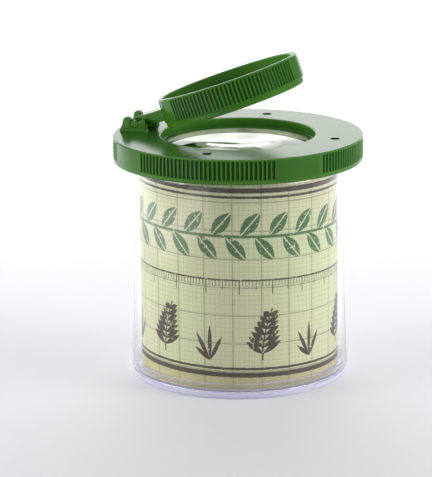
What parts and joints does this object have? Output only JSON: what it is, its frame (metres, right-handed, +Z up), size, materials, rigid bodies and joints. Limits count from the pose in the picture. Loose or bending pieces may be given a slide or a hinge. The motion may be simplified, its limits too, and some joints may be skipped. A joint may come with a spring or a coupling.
{
  "type": "bug catcher jar",
  "caption": "Clear flared jar with a rolled paper label inside and a ribbed green screw lid that holds a fixed lens and a flip-up loupe, for catching and viewing insects.",
  "frame": {"origin": "centre of the foot ring's underside, on the jar's axis", "axes": "+Z up along the jar's axis, -X towards the loupe's hinge, whose pin lies along Y"},
  "size_m": [0.076, 0.076, 0.0992],
  "materials": {
    "clear_plastic": "clear, glossy",
    "label_paper": "printed, matt",
    "green_plastic": "moulded, glossy",
    "lens_plastic": "clear, polished"
  },
  "bodies": {
    "jar": {"jar_base": "clear_plastic", "jar_wall": "clear_plastic", "label_sleeve": "label_paper"},
    "lid_carrier": {"lid_lens_retainer": "green_plastic"},
    "lid": {"lid": "green_plastic", "lid_lens": "lens_plastic"},
    "loupe": {"loupe_ring": "green_plastic", "loupe_lens": "lens_plastic", "loupe_retainer": "green_plastic"}
  },
  "joints": [
    {"name": "lid_rise", "type": "slide", "parent": "jar", "child": "lid_carrier", "axis": [0, 0, 1], "range_m": [0, 0.0241]},
    {"name": "lid_turn", "type": "hinge", "parent": "lid_carrier", "child": "lid", "pos_m": [0, 0, 0.0696], "axis": [0, 0, 1], "range_deg": [0, 720]},
    {"name": "loupe_flip", "type": "hinge", "parent": "lid", "child": "loupe", "pos_m": [-0.0314, 0, 0.0767], "axis": [0, -1, 0], "range_deg": [-19.3, 160.7]}
  ],
  "couplings": [
    {"joint": "lid_rise", "follows": "lid_turn", "m_per_rad": 0.0019099}
  ]
}
